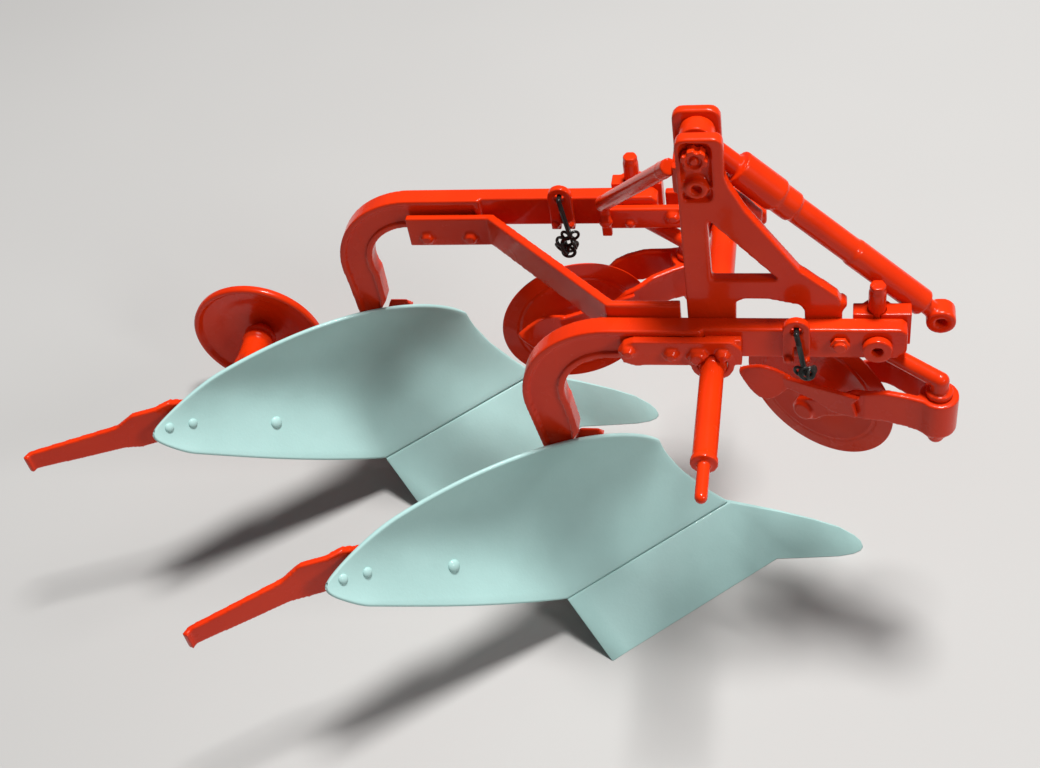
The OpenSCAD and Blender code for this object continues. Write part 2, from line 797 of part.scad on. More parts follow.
// Yoke in its own place: swivel pin at zero, hub behind it
module coulter_yoke() {
    low = yoke_low - hub_z;
    high = yoke_top - hub_z;
    mid = yoke_w / 2 + yoke_t / 2;
    wide = yoke_w / 2 + yoke_t;
    color("red")
        difference() {
            union() {
                intersection() {
                    side(wide + 1, 2 * wide + 2)
                        polygon([[1, low], [1, high], [-5, high], [-8.5, high - 1.2],
                            [-12, high - 4.3], [-trail - 1, 1.2], [-trail - 1.6, 0],
                            [-trail - 1.1, -1.1], [-trail, -1.6], [-trail + 1.4, -1.1],
                            [-12, 0.2], [-8.5, 2.2], [-5, low + 0.5]]);
                    translate([0, 0, -5])
                        linear_extrude(20)
                            for (s = [-1, 1])
                                polygon(strip([[0, s * 1.35], [-2.6, s * 1.8], [-7, s * mid],
                                    [-trail - 1.8, s * mid]], yoke_t));
                }
                translate([0, 0, low])
                    cylinder(r = shank_r + 1.15, h = yoke_h);
                rod_y(-trail, 0, 0.6, -wide - 0.5, wide + 0.5);
                for (s = [-1, 1])
                    rod_y(-trail, 0, 1.2, min(s * wide, s * (wide + 0.5)), max(s * wide, s * (wide + 0.5)));
            }
            translate([0, 0, -5])
                cylinder(r = shank_r + run, h = 20);
        }
}

module coulter_yoke_right() {
    at_swivel(swivel_right)
        coulter_yoke();
}

module coulter_yoke_left() {
    translate(rear_shift)
        at_swivel(swivel_left)
            coulter_yoke();
}

module coulter_disc() {
    hub = yoke_w / 2 - 0.15;
    color("red")
        translate([-trail, 0, 0])
            rotate([90, 0, 0])
                rotate_extrude($fn = 96)
                    polygon([[0.6 + run, -hub], [1.5, -hub], [1.5, -0.9], [3, -disc_t / 2],
                        [disc_r - 1.9, -disc_t / 2], [disc_r, -0.08], [disc_r, 0.08],
                        [disc_r - 1.9, disc_t / 2], [3, disc_t / 2], [1.5, 0.9], [1.5, hub],
                        [0.6 + run, hub]]);
}

module coulter_disc_right() {
    at_swivel(swivel_right)
        coulter_disc();
}

module coulter_disc_left() {
    translate(rear_shift)
        at_swivel(swivel_left)
            coulter_disc();
}

// Flared plate on an arm of the yoke, with a small folded blade behind it
module jointer() {
    y = -yoke_w / 2 - yoke_t - seat;
    color("red") {
        side(y, 0.6)
            polygon([[-7.4, 6.1], [-8.2, 4.8], [-7.6, 2.9], [-10.5, 2.3], [-13.2, 3],
                [-17, 3.2], [-17, 4.6], [-13.2, 5.1], [-10.5, 5.6]]);
        skin([for (i = [0 : 10])
            let (
                k = i / 10,
                x = -16 - 5.8 * k,
                yy = y - 0.5 - 1.4 * sin(90 * k),
                z1 = mix(3.4, 4, k) - 2.9 * sin(180 * k),
                z2 = mix(4.6, 4.4, k) + 1.3 * sin(180 * k)
            )
            [[x, yy, z1], [x - 0.3, yy + 0.45, z1], [x - 0.3, yy + 0.75, z2], [x, yy + 0.3, z2]]]);
    }
}

module jointer_right() {
    at_swivel(swivel_right)
        jointer();
}

module jointer_left() {
    translate(rear_shift)
        at_swivel(swivel_left)
            jointer();
}

// Clamp on the right face of a beam, with an eye over two legs
eye = [-8.1, beam_top + 0.7];
module beam_clamp() {
    half = 1.45;
    y = right_face - seat;
    color("red")
        difference() {
            union() {
                side(y, 0.9)
                    polygon(concat([[eye.x + half, beam_bottom]], arc(eye.x, eye.y, half, 0, 180, 16),
                        [[eye.x - half, beam_bottom]]));
                for (x = [-0.85, 0.9])
                    head(eye.x + x, y - 0.85, beam_bottom + 0.9, 0.55, 0.7);
            }
            rod_y(eye.x, eye.y, 0.6, -12, 0);
            block([eye.x - 0.25, -12, 30], [eye.x + 0.3, 0, beam_bottom + 2.6]);
        }
}

module beam_clamp_right() {
    beam_clamp();
}

module beam_clamp_left() {
    translate(rear_shift)
        beam_clamp();
}

// Wire hook through the eye of the clamp, with a few links at its end, over the disc
chain_low = hub_z + disc_r + 0.25;
link_ring = 0.55;
link_wire = 0.18;
module chain() {
    y = right_face - 0.5;
    end = [eye.x + 0.9, y - 1.5, chain_low + link_ring + link_wire];
    line = [[eye.x, y + 0.4, eye.y + 0.25], [eye.x + 0.05, y - 1, eye.y + 0.1],
        [eye.x + 0.3, y - 1.4, eye.y - 0.9], end];
    color("dimgray") {
        for (i = [0 : len(line) - 2])
            bar(line[i], line[i + 1], 0.3);
        for (p = line)
            translate(p)
                sphere(r = 0.33);
        for (s = [-1, 1])
            translate(end + [s * link_ring, -0.1 * s, 0.02 + 0.1 * s])
                rotate([90, 0, 25 * s])
                    rotate_extrude()
                        translate([link_ring, 0])
                            circle(r = link_wire);
    }
}

module chain_right() {
    chain();
}

module chain_left() {
    translate(rear_shift)
        chain();
}

stub_end = wheel_y - wheel_w / 2 + 0.9;
module wheel_bracket() {
    color("red") {
        translate([rear_shift.x, furrow_w, 0])
            side(-seat, 1.2)
                polygon([[-37, 1], [-37, 4.2], [-50, 6], [-wheel_back + 2.5, wheel_r + 2],
                    [-wheel_back, wheel_r + 2.3], [-wheel_back - 2.2, wheel_r + 0.8],
                    [-wheel_back - 1.6, wheel_r - 1.8], [-51, 2.6]]);
        rod_y(wheel_x, wheel_r, axle_r, furrow_w - 0.9, wheel_y + wheel_w / 2 + 1.1);
        rod_y(wheel_x, wheel_r, axle_r + 1.1, furrow_w - 0.3, stub_end - 0.5);
        rod_y(wheel_x, wheel_r, axle_r + 1.4, stub_end - 0.5, stub_end);
        rod_y(wheel_x, wheel_r, axle_r + 1.4, stub_end - 2, stub_end - 1.4);
        rod_y(wheel_x, wheel_r, axle_r + 0.6, stub_end - 0.1, wheel_y + wheel_w / 2 - wheel_wall - 0.1);
        rod_y(wheel_x, wheel_r, axle_r + 0.6, wheel_y + wheel_w / 2 + 0.5, wheel_y + wheel_w / 2 + 1.3);
    }
}

module rear_wheel() {
    w = wheel_w / 2;
    t = wheel_wall;
    color("red")
        translate([wheel_x, wheel_y, wheel_r])
            rotate([-90, 0, 0])
                rotate_extrude($fn = 120)
                    polygon([[axle_r + run, w - t], [wheel_r * 0.39, w - t],
                        [wheel_r * 0.56, w - t - 0.35], [wheel_r * 0.74, w - t - 1.1],
                        [wheel_r * 0.88, -w + 0.7], [wheel_r - 0.7, -w], [wheel_r - 0.2, -w],
                        [wheel_r, -w + 0.3], [wheel_r, -w + 1], [wheel_r - 0.4, -w + 1.4],
                        [wheel_r * 0.8, w - 1.2], [wheel_r * 0.6, w - 0.3], [wheel_r * 0.42, w],
                        [2.4, w], [2.4, w + 0.3], [axle_r + run, w + 0.3]]);
}

translate([-mid_x, -mid_y, 0]) {
    beam_right();
    beam_left();
    frog_right();
    frog_left();
    landside_right();
    landside_left();
    share_right();
    share_left();
    mouldboard_right();
    mouldboard_left();
    tail_strap_right();
    tail_strap_left();
    beam_brace();
    cross_shaft();
    shaft_bracket_right();
    shaft_bracket_left();
    mast();
    mast_pin();
    mast_brace();
    top_link();
    coulter_block_right();
    coulter_block_left();
    coulter_shank_right();
    coulter_shank_left();
    coulter_yoke_right();
    coulter_yoke_left();
    coulter_disc_right();
    coulter_disc_left();
    jointer_right();
    jointer_left();
    beam_clamp_right();
    beam_clamp_left();
    chain_right();
    chain_left();
    wheel_bracket();
    rear_wheel();
}
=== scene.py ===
"""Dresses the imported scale-model plough: paint, softened cast edges, floor, light and camera."""
import json
import math

import bmesh
import bpy
from mathutils import Euler, Matrix, Vector


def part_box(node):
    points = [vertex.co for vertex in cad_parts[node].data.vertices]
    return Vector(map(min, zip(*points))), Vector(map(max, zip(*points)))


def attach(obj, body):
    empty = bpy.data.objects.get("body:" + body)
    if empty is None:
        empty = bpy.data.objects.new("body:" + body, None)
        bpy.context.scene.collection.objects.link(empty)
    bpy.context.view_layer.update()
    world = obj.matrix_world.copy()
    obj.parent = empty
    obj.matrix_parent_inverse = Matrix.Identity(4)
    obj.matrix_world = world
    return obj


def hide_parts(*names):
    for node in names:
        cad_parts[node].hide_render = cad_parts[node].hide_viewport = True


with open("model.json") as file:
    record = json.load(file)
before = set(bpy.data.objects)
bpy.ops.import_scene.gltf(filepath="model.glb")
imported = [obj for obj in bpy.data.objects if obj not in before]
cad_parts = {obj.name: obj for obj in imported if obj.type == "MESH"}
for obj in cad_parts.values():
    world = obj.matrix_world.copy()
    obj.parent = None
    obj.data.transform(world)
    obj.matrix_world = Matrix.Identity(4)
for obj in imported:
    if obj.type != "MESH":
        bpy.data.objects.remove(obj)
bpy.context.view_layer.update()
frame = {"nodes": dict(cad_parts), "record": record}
scene = bpy.context.scene
MM = 0.001

# Places in millimetres from the share tip of the right bottom, as in the part's source.
# The shared frame starts under the middle of the part; the left bottom is a shifted copy.
MIDDLE_OF_ALL = Vector((-48.483, -1.640, 0))
REAR_SHIFT = Vector((-28.5, 22.2, 0))

# Plane that trims the frog's top: a point on it, and how steeply it falls to the left
FROG_CUT = (-26, 0, 21.2)
FROG_SLOPE = 1.45

# Upper end of the mast brace, its seat on the mast, and the radius of the stretch between
BRACE_END = (-21.55, -0.65, 63.3)
BRACE_SEAT = (-20.70, -1.99, 64.8)
BRACE_R = 0.95

# Loose chain links: place from the end of the wire, and turns in degrees
CHAIN_END = (-7.2, -7.8, 41.2)
NEAR_LINKS = [((0.75, -0.2, 0.0), (80, 10, 60)),
              ((0.25, -0.45, 0.1), (60, 30, 0))]
FAR_LINKS = [((-0.3, 0.0, -0.95), (90, 0, 20)),
             ((-1.2, 0.1, -1.1), (40, 20, 70)),
             ((0.35, -0.2, -1.2), (75, 35, 110)),
             ((-0.75, -0.3, -1.75), (10, 70, 0)),
             ((0.1, 0.2, -2.0), (95, 10, 50)),
             ((-1.3, -0.1, -2.0), (70, -20, 150)),
             ((-0.4, -0.1, -2.6), (30, 15, 30))]
LINK_R = 0.62
LINK_WIRE = 0.19
LINK_STRETCH = 1.25

# Mouldboard: its corners and curves, as in the part's source; u runs from shin to tail, v from low to top
BOARD_T = 0.6
SEAM_U = 0.42
SHIN, SHIN_TOP = Vector((-16.9, 0, 8.4)), Vector((-25, 0, 20.3))
WING, WING_MID = Vector((-36.277, -14.678, 6.3)), Vector((-46.637, -21.303, 12.49))
TAIL_LOW, TAIL_TOP = Vector((-59.3, -29.4, 24.5)), Vector((-59, -25, 27.5))
TOP_A, TOP_B = Vector((-30, -5.5, 29.5)), Vector((-44, -10.5, 29.5))
BOARD_TWIST = 60
SHIN_HOLLOW, BOARD_HOLLOW = 1.5, 2.6
TAIL_BEND = Vector((-0.8, -0.7, 0))
TAIL_BEND_FROM = 0.8

# Where the board's low and top edge start to round off to the tail, and the least width left there
LOW_ROUND_FROM, TOP_ROUND_FROM = 0.92, 0.86
LEAST_WIDTH = 0.004

# Rounded ends of the board: u, and the share of its thickness there
SHIN_ROWS = [(0.0, 0.35), (0.001, 0.7), (0.0035, 0.93), (0.007, 1.0)]
TAIL_ROWS = [(0.9985, 0.9), (0.9995, 0.7), (1.0, 0.35)]
LENGTH_STEPS, TAIL_STEPS, HEIGHT_STEPS, RIM_STEPS = 60, 28, 24, 6
SLOPE_STEP = 0.01

# Bolts of the board: u, v and radius; their domes rise by this share of the radius
BOARD_BOLTS = [(0.708, 0.263, 0.8), (0.966, 0.5, 0.62), (0.915, 0.437, 0.62)]
BOLT_RISE = 0.6
ROUND_SIDES = 24

# Recess in the goose neck: the neck's side face, the depth from it, and the outline in x and z.
# The left neck is tucked in: the outside of its bend by all of that, the inside and the rear by a share.
NECK_FACE = -6.2
NECK_RECESS = 0.32
LEFT_TUCK, INSIDE_TUCK, REAR_TUCK = 1.2, 0.5, 0.4
BEND_OUTSIDE, OUTSIDE_R = (-28.4, 34.4), 10.2
BEND_INSIDE, INSIDE_R = (-28.4, 35.2), 6.8
BEND_STEPS = 24
NECK_TOP = (-19.0, 44.6)
NECK_REAR = (-37.3, 25.7)
NECK_FOOT = [(-36.3, 20.0), (-35.2, 20.0), (-34.3, 28.4)]
NECK_LOW = [(-25.2, 42.2), (-19.0, 42.0)]

# Coulter disc: radius from the axis and half thickness at the hub, then depth in from the rim
HUB_HALF = 2.45
HUB_PROFILE = [(0.66, HUB_HALF), (1.42, HUB_HALF), (1.5, HUB_HALF - 0.08), (1.5, 1.0),
               (1.6, 0.85), (2.9, 0.34), (3.1, 0.3)]
RIM_PROFILE = [(2.6, 0.3), (2.48, 0.36), (2.3, 0.36), (2.18, 0.27), (1.95, 0.27),
               (1.85, 0.31), (1.7, 0.3), (0.05, 0.09)]
DISC_STEPS = 128
DISC_EDGE_ANGLE = 38

# Voxel of the softened casting, in millimetres, by node; the rest keeps its faces and gets rounded rims
FINE, MIDDLE, BROAD = 0.11, 0.16, 0.19
VOXELS = {"mast_pin": FINE, "beam_clamp": FINE, "jointer": FINE, "coulter_block": FINE,
          "coulter_yoke": MIDDLE, "coulter_shank": MIDDLE, "shaft_bracket": MIDDLE, "cross_shaft": MIDDLE,
          "tail_strap": MIDDLE, "mast_brace": MIDDLE, "beam_brace": MIDDLE, "top_link": MIDDLE,
          "landside": BROAD, "mast": BROAD, "frog": BROAD, "wheel_bracket": BROAD, "beam": 0.15}
SMOOTH_TURNS = 6
RIMS = {"share": 0.2, "rear_wheel": 0.18, "chain": 0}
RIM_SEGMENTS = 3
RIM_ANGLE = 40
WELD = 0.002

# Camera, as the photograph was taken: place in millimetres, angles in degrees, focal length in pixels
CAMERA_AT = (44.121, -119.183, 160.70)
AZIMUTH = 16.995
ELEVATION = 45.957
ROLL = -11.55
SENSOR = 36.0
PHOTO_WIDTH = 1040
FOCAL_PIXELS = 1500
NEAREST_SEEN = 0.005

# Paint: scales of its colour drift, sheen and pull, and the depths of pull and grain in metres
DRIFT_SCALE, SHEEN_SCALE, PULL_SCALE = 130, 300, 420
PULL_DEPTH, GRAIN_DEPTH = 0.0003, 0.00005
SPECULAR = 0.12
COAT_ROUGH = 0.07
SHEEN_LOW, SHEEN_HIGH = 0.85, 1.2

# Studio: name, place and size in metres, and power of each lamp
LAMPS = [("overhead", (0.10, 0.10, 0.56), 0.14, 4.2),
         ("window", (0.40, -0.22, 0.30), 0.12, 0.7)]
LAMP_TARGET = (0, 0, 0.02)
SKY_COLOUR, SKY_STRENGTH = (0.93, 0.95, 1.0, 1), 0.12
FLOOR_DARK, FLOOR_LIGHT = (0.47, 0.46, 0.445), (0.50, 0.49, 0.475)
FLOOR_SIZE, FLOOR_SCALE, FLOOR_ROUGH = 6, 8, 0.85

RECORD = frame["record"]
SLOTS = {row["node"]: row["material_slot"] for row in RECORD["subparts"]}
BODIES = {node: body for body, nodes in RECORD["behaviour"]["bodies"].items() for node in nodes}


def nodes_of(material):
    """The material's node tree, emptied, with its output node."""
    material.use_nodes = True
    tree = material.node_tree
    tree.nodes.clear()
    out = tree.nodes.new("ShaderNodeOutputMaterial")
    return tree, out


def add(tree, kind, **values):
    """A shader node with the inputs named in values set."""
    node = tree.nodes.new(kind)
    for name, value in values.items():
        node.inputs[name].default_value = value
    return node


def ramp(tree, source, low, high):
    """A colour that drifts between low and high with the source."""
    node = tree.nodes.new("ShaderNodeValToRGB")
    for stop, place, colour in zip(node.color_ramp.elements, (0.3, 0.7), (low, high)):
        stop.position = place
        stop.color = (*colour, 1)
    tree.links.new(source, node.inputs["Fac"])
    return node.outputs["Color"]


def noise(tree, place, scale, detail=4.0, rough=0.5):
    """A cloudy value from 0 to 1 over the piece."""
    node = add(tree, "ShaderNodeTexNoise", Scale=scale, Detail=detail, Roughness=rough)
    tree.links.new(place, node.inputs["Vector"])
    return node.outputs["Fac"]


def paint(name, light, deep, rough, coat, pull, grain, grain_scale):
    """Sprayed enamel on cast metal: the colour drifts a little, the gloss has a fine pull and a grain."""
    material = bpy.data.materials.new(name)
    tree, out = nodes_of(material)
    link = tree.links.new
    place = add(tree, "ShaderNodeTexCoord").outputs["Object"]
    shader = add(tree, "ShaderNodeBsdfPrincipled")
    shader.inputs["Coat Weight"].default_value = coat
    shader.inputs["Coat Roughness"].default_value = COAT_ROUGH
    shader.inputs["Specular IOR Level"].default_value = SPECULAR
    link(ramp(tree, noise(tree, place, DRIFT_SCALE, 3), deep, light), shader.inputs["Base Color"])
    sheen = add(tree, "ShaderNodeMapRange")
    sheen.inputs["To Min"].default_value = rough * SHEEN_LOW
    sheen.inputs["To Max"].default_value = rough * SHEEN_HIGH
    link(noise(tree, place, SHEEN_SCALE, 4), sheen.inputs["Value"])
    link(sheen.outputs["Result"], shader.inputs["Roughness"])
    soft = add(tree, "ShaderNodeBump", Strength=pull, Distance=PULL_DEPTH)
    link(noise(tree, place, PULL_SCALE, 2), soft.inputs["Height"])
    bump = add(tree, "ShaderNodeBump", Strength=grain, Distance=GRAIN_DEPTH)
    link(noise(tree, place, grain_scale, 5, 0.55), bump.inputs["Height"])
    link(soft.outputs["Normal"], bump.inputs["Normal"])
    link(bump.outputs["Normal"], shader.inputs["Normal"])
    link(soft.outputs["Normal"], shader.inputs["Coat Normal"])
    link(shader.outputs["BSDF"], out.inputs["Surface"])
    return material


PAINTS = {
    "red_paint": paint("red_enamel", light=(0.76, 0.036, 0.003), deep=(0.68, 0.026, 0.002), rough=0.26,
                       coat=0.25, pull=0.10, grain=0.2, grain_scale=1500),
    "grey_paint": paint("grey_satin", light=(0.42, 0.64, 0.61), deep=(0.385, 0.59, 0.56), rough=0.30,
                        coat=0.12, pull=0.08, grain=0.3, grain_scale=2600),
    "black_wire": paint("black_wire", light=(0.020, 0.019, 0.017), deep=(0.012, 0.012, 0.012), rough=0.35,
                        coat=0.3, pull=0.1, grain=0.3, grain_scale=1500),
}


def kind_of(name):
    """The node's name without its side."""
    return name.removesuffix("_right").removesuffix("_left")


def place_of(name, point):
    """A point of one bottom, from its share tip in millimetres, in the shared frame in metres."""
    shift = REAR_SHIFT if name.endswith("_left") else Vector()
    return (Vector(point) - MIDDLE_OF_ALL + shift) * MM


def shown(piece, slot, body):
    """Paints a piece and lets it ride on its body."""
    piece.data.shade_smooth()
    piece.data.materials.clear()
    piece.data.materials.append(PAINTS[slot])
    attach(piece, body)


def finished(name, work, slot, body):
    """A shown piece from a bmesh."""
    mesh = bpy.data.meshes.new(name)
    work.to_mesh(mesh)
    work.free()
    piece = bpy.data.objects.new(name, mesh)
    scene.collection.objects.link(piece)
    shown(piece, slot, body)
    return piece


def applied(piece):
    """Works the piece's modifiers into its mesh."""
    depsgraph = bpy.context.evaluated_depsgraph_get()
    mesh = bpy.data.meshes.new_from_object(piece.evaluated_get(depsgraph))
    piece.modifiers.clear()
    piece.data = mesh


def welded(mesh):
    """Joins the points that the file keeps apart for each face."""
    work = bmesh.new()
    work.from_mesh(mesh)
    bmesh.ops.remove_doubles(work, verts=work.verts, dist=WELD * MM)
    bmesh.ops.recalc_face_normals(work, faces=work.faces)
    work.to_mesh(mesh)
    work.free()


def cut_off(mesh, point, normal):
    """Takes away what lies past a plane, and closes the cut."""
    work = bmesh.new()
    work.from_mesh(mesh)
    parts = work.verts[:] + work.edges[:] + work.faces[:]
    cut = bmesh.ops.bisect_plane(work, geom=parts, plane_co=point, plane_no=normal, clear_outer=True)
    edges = [e for e in cut["geom_cut"] if isinstance(e, bmesh.types.BMEdge)]
    bmesh.ops.edgeloop_fill(work, edges=edges)
    work.to_mesh(mesh)
    work.free()


def add_rod(mesh, start, end, radius):
    """Puts a round rod between two points into the mesh, to be cast with it."""
    work = bmesh.new()
    work.from_mesh(mesh)
    line = end - start
    turn = line.to_track_quat("Z", "Y").to_matrix().to_4x4()
    bmesh.ops.create_cone(work, cap_ends=True, segments=ROUND_SIDES, radius1=radius, radius2=radius,
                          depth=line.length, matrix=Matrix.Translation((start + end) / 2) @ turn)
    work.to_mesh(mesh)
    work.free()


def finish_form(name, mesh):
    """What the casting has and its plain solid lacks: a frog under the board's edge, a seated brace end."""
    kind = kind_of(name)
    if kind == "frog":
        cut_off(mesh, place_of(name, FROG_CUT), Vector((0, FROG_SLOPE, 1)).normalized())
    elif kind == "mast_brace":
        add_rod(mesh, place_of(name, BRACE_END), place_of(name, BRACE_SEAT), BRACE_R * MM)


def cast(piece, voxel):
    """Gives a piece the melted edges of a painted casting."""
    remesh = piece.modifiers.new("cast", "REMESH")
    remesh.mode = "VOXEL"
    remesh.voxel_size = voxel * MM
    smooth = piece.modifiers.new("rub", "SMOOTH")
    smooth.factor = 0.5
    smooth.iterations = SMOOTH_TURNS


def round_rims(piece, width):
    """Rounds the sharp rims of a piece and keeps its faces."""
    bevel = piece.modifiers.new("rim", "BEVEL")
    bevel.width = width * MM
    bevel.segments = RIM_SEGMENTS
    bevel.limit_method = "ANGLE"
    bevel.angle_limit = math.radians(RIM_ANGLE)
    bevel.use_clamp_overlap = True


def soften(name, node):
    """A copy of the node with the round edges of a painted casting, in the node's place."""
    kind = kind_of(name)
    piece = bpy.data.objects.new("cast_" + name, node.data.copy())
    scene.collection.objects.link(piece)
    welded(piece.data)
    finish_form(name, piece.data)
    if kind in VOXELS:
        cast(piece, VOXELS[kind])
    elif RIMS[kind]:
        round_rims(piece, RIMS[kind])
    applied(piece)
    if kind == "beam":
        sink_neck(name, piece.data)
    shown(piece, SLOTS[name], BODIES[name])
    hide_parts(name)


def curve(points, t):
    """A point of the Bezier curve through three or four control points."""
    while len(points) > 1:
        points = [a.lerp(b, t) for a, b in zip(points, points[1:])]
    return points[0]


def ease(t):
    """A soft step from 0 to 1."""
    t = max(0.0, min(1.0, t))
    return t * t * (3 - 2 * t)


def board_face(u, v):
    """A point of the mouldboard's face, as in the part's source: its hollow turns with the twist."""
    if u < SEAM_U:
        low = SHIN.lerp(WING, u / SEAM_U)
    else:
        low = curve([WING, WING_MID, TAIL_LOW], (u - SEAM_U) / (1 - SEAM_U))
    top = curve([SHIN_TOP, TOP_A, TOP_B, TAIL_TOP], u)
    turn = math.radians(BOARD_TWIST * u)
    bow = 4 * v * (1 - v)
    depth = SHIN_HOLLOW * (1 - u) + BOARD_HOLLOW * math.sin(math.pi * u)
    bend = Vector((-math.cos(turn), math.sin(turn), 0)) * depth
    tail = ease((u - TAIL_BEND_FROM) / (1 - TAIL_BEND_FROM)) * TAIL_BEND
    return low.lerp(top, v) + bow * (bend + tail)


def skin(u, v):
    """The way from the board's face to its back, and the way up along the face."""
    along = board_face(min(1, u + SLOPE_STEP), v) - board_face(max(0, u - SLOPE_STEP), v)
    across = board_face(u, v + SLOPE_STEP) - board_face(u, v - SLOPE_STEP)
    return along.cross(across).normalized(), across.normalized()


def width_left(u, start):
    """How much of the board's height is left at u, where an edge rounds off from start to the tail."""
    return 1.0 if u < start else math.sqrt(max(LEAST_WIDTH, 1 - ((u - start) / (1 - start)) ** 2))


def board_ring(u, share):
    """One ring of the board: face, rounded top edge, back and rounded low edge."""
    low = 0.5 - 0.5 * width_left(u, LOW_ROUND_FROM)
    top = 0.5 + 0.5 * width_left(u, TOP_ROUND_FROM)
    tall = (board_face(u, top) - board_face(u, low)).length
    inset = min(0.5 * (top - low), BOARD_T / 2 / tall * (top - low))
    front, back, ends = [], [], []
    for j in range(HEIGHT_STEPS + 1):
        v = low + inset + (top - low - 2 * inset) * j / HEIGHT_STEPS
        inward, upward = skin(u, v)
        middle = board_face(u, v) + inward * BOARD_T / 2
        half = inward * BOARD_T / 2 * share
        front.append(middle - half)
        back.append(middle + half)
        ends.append((middle, half, upward * BOARD_T / 2 * share))

    def cap(middle, half, out):
        return [middle - half * math.cos(a) + out * math.sin(a)
                for a in (math.pi * k / RIM_STEPS for k in range(1, RIM_STEPS))]

    middle, half, out = ends[-1]
    ring = front + cap(middle, half, out)
    middle, half, out = ends[0]
    return ring + back[::-1] + cap(middle, -half, -out)


def make_board(name):
    """The mouldboard as one twisted plate with a rounded rim all round."""
    start = SHIN_ROWS[-1][0]
    rows = SHIN_ROWS + [(start + (TOP_ROUND_FROM - start) * i / LENGTH_STEPS, 1.0)
                        for i in range(1, LENGTH_STEPS + 1)]
    rows += [(TOP_ROUND_FROM + (1 - TOP_ROUND_FROM) * math.sin(math.pi / 2 * i / TAIL_STEPS), 1.0)
             for i in range(1, TAIL_STEPS - 1)]
    rows += TAIL_ROWS
    work = bmesh.new()
    rings = [[work.verts.new(place_of(name, point)) for point in board_ring(u, share)] for u, share in rows]
    for one, two in zip(rings, rings[1:]):
        for j in range(len(one)):
            k = (j + 1) % len(one)
            work.faces.new((one[j], one[k], two[k], two[j]))
    work.faces.new(rings[0][::-1])
    work.faces.new(rings[-1])
    bmesh.ops.recalc_face_normals(work, faces=work.faces)
    piece = finished("cast_" + name, work, SLOTS[name], BODIES[name])
    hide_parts(name)


def make_disc(name):
    """The coulter disc turned from one profile, with the low rings pressed into its faces."""
    box_low, box_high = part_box(name)
    joint = next(j for j in RECORD["behaviour"]["joints"] if j["child"] == BODIES[name])
    axis = Vector(joint["axis"])
    rim = (box_high.z - box_low.z) / 2 / MM
    side = HUB_PROFILE + [(rim - depth, half) for depth, half in RIM_PROFILE]
    profile = side + [(rim, 0)] + [(r, -y) for r, y in reversed(side)]
    turn = axis.to_track_quat("Z", "Y").to_matrix().to_4x4()
    place = Matrix.Translation(Vector(joint["pos_m"])) @ turn
    work = bmesh.new()
    rings = []
    for i in range(DISC_STEPS):
        a = 2 * math.pi * i / DISC_STEPS
        rings.append([work.verts.new(place @ (Vector((r * math.cos(a), r * math.sin(a), y)) * MM))
                      for r, y in profile])
    for i in range(DISC_STEPS):
        one, two = rings[i], rings[(i + 1) % DISC_STEPS]
        for j in range(len(profile)):
            k = (j + 1) % len(profile)
            work.faces.new((one[j], two[j], two[k], one[k]))
    bmesh.ops.recalc_face_normals(work, faces=work.faces)
    piece = finished("cast_" + name, work, SLOTS[name], BODIES[name])
    piece.data.set_sharp_from_angle(angle=math.radians(DISC_EDGE_ANGLE))
    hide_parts(name)


def inside(x, z, outline):
    """Whether a point lies inside a closed outline."""
    hit = False
    for (x1, z1), (x2, z2) in zip(outline, outline[1:] + outline[:1]):
        if (z1 > z) != (z2 > z) and x < x1 + (z - z1) * (x2 - x1) / (z2 - z1):
            hit = not hit
    return hit


def arc(centre, shift, r, start, end):
    """Points of an arc whose centre is shifted along the beam; angles in degrees."""
    turns = [math.radians(start + (end - start) * k / BEND_STEPS) for k in range(BEND_STEPS + 1)]
    return [(centre[0] + shift + r * math.cos(a), centre[1] + r * math.sin(a)) for a in turns]


def neck_outline(tuck):
    """Outline of the recess, from the beam over the outside of the bend to the foot and back inside it."""
    rear = (NECK_REAR[0] + REAR_TUCK * tuck, NECK_REAR[1])
    return ([NECK_TOP] + arc(BEND_OUTSIDE, tuck, OUTSIDE_R, 90, 190) + [rear] + NECK_FOOT
            + arc(BEND_INSIDE, INSIDE_TUCK * tuck, INSIDE_R, 200, 90) + NECK_LOW)


def sink_neck(name, mesh):
    """The shallow recess runs on round the whole goose neck, inside an even rim."""
    outline = neck_outline(LEFT_TUCK if name.endswith("_left") else 0.0)
    shift = place_of(name, (0, 0, 0))
    level = NECK_FACE + NECK_RECESS
    for vertex in mesh.vertices:
        point = (vertex.co - shift) / MM
        if point.y < level and inside(point.x, point.z, outline):
            vertex.co.y = shift.y + level * MM


def dress_nodes():
    """Every CAD node gets the piece that is shown in its place."""
    for name, node in frame["nodes"].items():
        kind = kind_of(name)
        if kind == "mouldboard":
            make_board(name)
        elif kind == "coulter_disc":
            make_disc(name)
        else:
            soften(name, node)


def round_bolts(side):
    """Domes of the bolts in a mouldboard, painted with it."""
    work = bmesh.new()
    for u, v, radius in BOARD_BOLTS:
        spot = place_of("_" + side, board_face(u, v))
        turn = skin(u, v)[0].to_track_quat("Z", "Y").to_matrix().to_4x4()
        flat = Matrix.Diagonal((1, 1, BOLT_RISE, 1))
        bmesh.ops.create_uvsphere(work, u_segments=ROUND_SIDES, v_segments=ROUND_SIDES // 2,
                                  radius=radius * MM, matrix=Matrix.Translation(spot) @ turn @ flat)
    finished("board_bolts_" + side, work, "grey_paint", "frame")


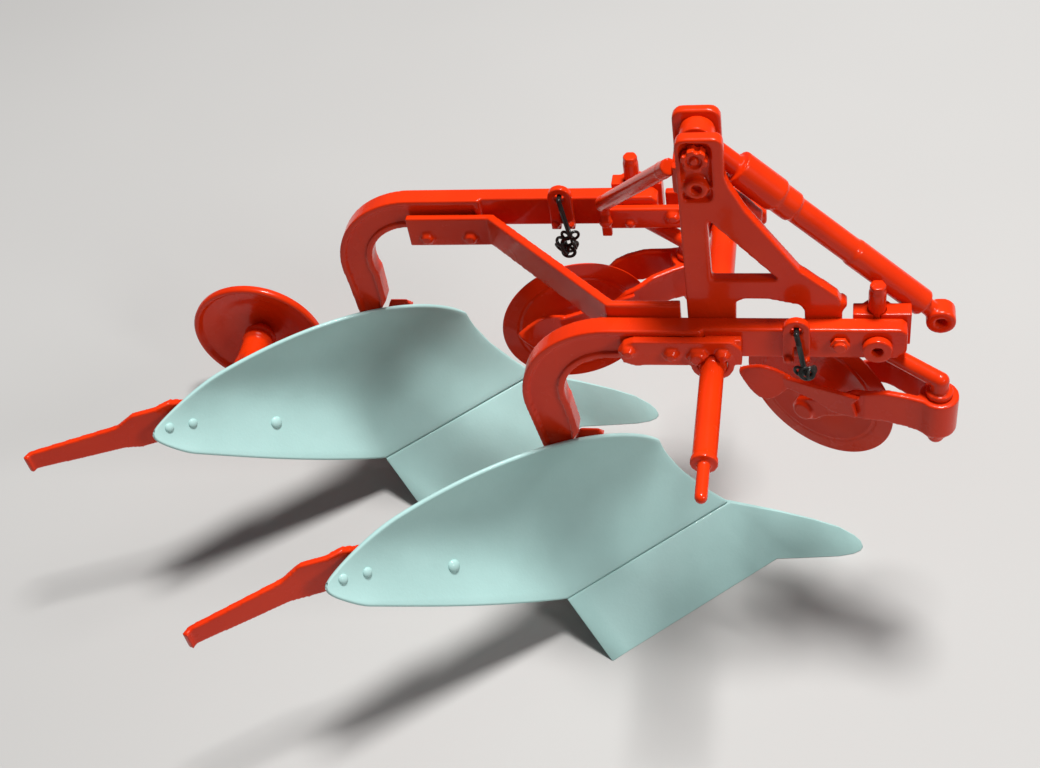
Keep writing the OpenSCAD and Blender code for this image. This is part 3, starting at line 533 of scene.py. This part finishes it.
def ring_into(work, middle, turns, radius, wire, steps=20, sides=8):
    """A chain link as a closed ring of round wire, turned by three angles in degrees."""
    spin = Euler([math.radians(a) for a in turns]).to_matrix().to_4x4()
    place = Matrix.Translation(middle) @ spin
    rows = []
    for i in range(steps):
        a = 2 * math.pi * i / steps
        row = []
        for j in range(sides):
            b = 2 * math.pi * j / sides
            reach = radius + wire * math.cos(b)
            point = Vector((reach * math.cos(a) * LINK_STRETCH, reach * math.sin(a), wire * math.sin(b)))
            row.append(work.verts.new(place @ point))
        rows.append(row)
    for i in range(steps):
        for j in range(sides):
            after, up = (i + 1) % steps, (j + 1) % sides
            work.faces.new((rows[i][j], rows[after][j], rows[after][up], rows[i][up]))


def chain_links(side, body, links):
    """Loose links at the end of a chain's wire."""
    work = bmesh.new()
    for offset, turns in links:
        middle = place_of("_" + side, Vector(CHAIN_END) + Vector(offset))
        ring_into(work, middle, turns, LINK_R * MM, LINK_WIRE * MM)
    bmesh.ops.recalc_face_normals(work, faces=work.faces)
    finished("chain_links_" + side, work, "black_wire", body)


def make_floor():
    """A plain pale floor under the part."""
    material = bpy.data.materials.new("pale_floor")
    tree, out = nodes_of(material)
    shader = add(tree, "ShaderNodeBsdfPrincipled", Roughness=FLOOR_ROUGH)
    place = add(tree, "ShaderNodeTexCoord").outputs["Object"]
    tone = ramp(tree, noise(tree, place, FLOOR_SCALE, 3), FLOOR_DARK, FLOOR_LIGHT)
    tree.links.new(tone, shader.inputs["Base Color"])
    tree.links.new(shader.outputs["BSDF"], out.inputs["Surface"])
    bpy.ops.mesh.primitive_plane_add(size=FLOOR_SIZE, location=(0, 0, 0))
    floor = bpy.context.object
    floor.name = "floor"
    floor.data.materials.append(material)


def make_lamp(name, at, size, power):
    """A round soft lamp turned to the part."""
    data = bpy.data.lights.new(name, "AREA")
    data.shape = "DISK"
    data.size = size
    data.energy = power
    lamp = bpy.data.objects.new(name, data)
    lamp.location = at
    lamp.rotation_euler = (Vector(LAMP_TARGET) - Vector(at)).to_track_quat("-Z", "Y").to_euler()
    scene.collection.objects.link(lamp)


def make_world():
    """A dim even sky."""
    world = bpy.data.worlds.new("studio")
    scene.world = world
    world.use_nodes = True
    back = world.node_tree.nodes["Background"]
    back.inputs["Color"].default_value = SKY_COLOUR
    back.inputs["Strength"].default_value = SKY_STRENGTH


def make_camera():
    """The photograph's camera; azimuth 0 looks along +Y."""
    azimuth, elevation = math.radians(AZIMUTH), math.radians(ELEVATION)
    forward = Vector((-math.sin(azimuth) * math.cos(elevation),
                      math.cos(azimuth) * math.cos(elevation), -math.sin(elevation)))
    right = Vector((math.cos(azimuth), math.sin(azimuth), 0))
    up = right.cross(forward)
    turn = Matrix.Rotation(math.radians(ROLL), 3, -forward)
    right, up = turn @ right, turn @ up
    data = bpy.data.cameras.new("camera")
    data.sensor_width = SENSOR
    data.lens = SENSOR * FOCAL_PIXELS / PHOTO_WIDTH
    data.clip_start = NEAREST_SEEN
    camera = bpy.data.objects.new("camera", data)
    rotation = Matrix((right, up, -forward)).transposed()
    camera.matrix_world = Matrix.Translation(Vector(CAMERA_AT) * MM) @ rotation.to_4x4()
    scene.collection.objects.link(camera)
    scene.camera = camera


make_camera()
make_world()
make_floor()
for lamp in LAMPS:
    make_lamp(*lamp)
dress_nodes()
for side in ("right", "left"):
    round_bolts(side)
chain_links("right", "frame", NEAR_LINKS)
chain_links("left", "coulter_left", FAR_LINKS)

scene.view_settings.view_transform = "Standard"
